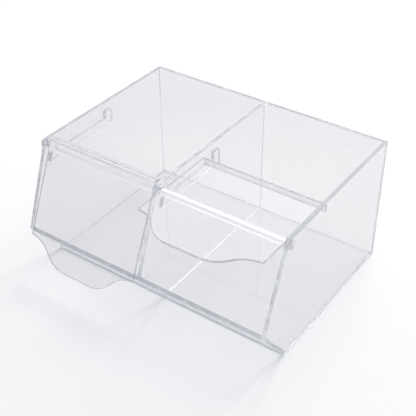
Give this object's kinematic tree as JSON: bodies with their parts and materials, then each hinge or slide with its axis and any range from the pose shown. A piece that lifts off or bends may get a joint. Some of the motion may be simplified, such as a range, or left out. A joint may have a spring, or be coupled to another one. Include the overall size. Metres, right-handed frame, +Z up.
{
  "type": "candy bin",
  "caption": "Clear acrylic counter bin with side-by-side compartments, each with a hinged sliding lid that ends in a scoop tab.",
  "frame": {"origin": "middle of the base's underside", "axes": "+X to the right seen from the front, +Y from the front to the back, +Z up"},
  "size_m": [0.3036, 0.2598, 0.1502],
  "materials": {
    "clear_sheet": "clear acrylic sheet, flame-polished edges",
    "clear_rod": "clear acrylic rod, turned and polished",
    "clear_lid": "clear acrylic sheet, heat-bent, flame-polished edges"
  },
  "bodies": {
    "bin": {"base_plate": "clear_sheet", "back_panel": "clear_sheet", "left_side": "clear_sheet", "right_side": "clear_sheet", "divider": "clear_sheet", "front_panel": "clear_sheet", "left_rail": "clear_sheet", "right_rail": "clear_sheet"},
    "left_rod": {"left_hinge_rod": "clear_rod", "left_rod_cap": "clear_rod"},
    "left_lid": {"left_lid": "clear_lid"},
    "right_rod": {"right_hinge_rod": "clear_rod", "right_rod_cap": "clear_rod"},
    "right_lid": {"right_lid": "clear_lid"}
  },
  "joints": [
    {"name": "left_hinge", "type": "hinge", "parent": "bin", "child": "left_rod", "pos_m": [-0.074, -0.0993, 0.143], "axis": [-1, 0, 0], "range_deg": [0, 65.32]},
    {"name": "left_slide", "type": "slide", "parent": "left_rod", "child": "left_lid", "axis": [0, 0.4176, 0.9086], "range_m": [0, 0.0777]},
    {"name": "right_hinge", "type": "hinge", "parent": "bin", "child": "right_rod", "pos_m": [0.074, -0.0993, 0.143], "axis": [1, 0, 0], "range_deg": [0, 65.32]},
    {"name": "right_slide", "type": "slide", "parent": "right_rod", "child": "right_lid", "axis": [0, 1, 0], "range_m": [-0.0647, 0.013]}
  ]
}
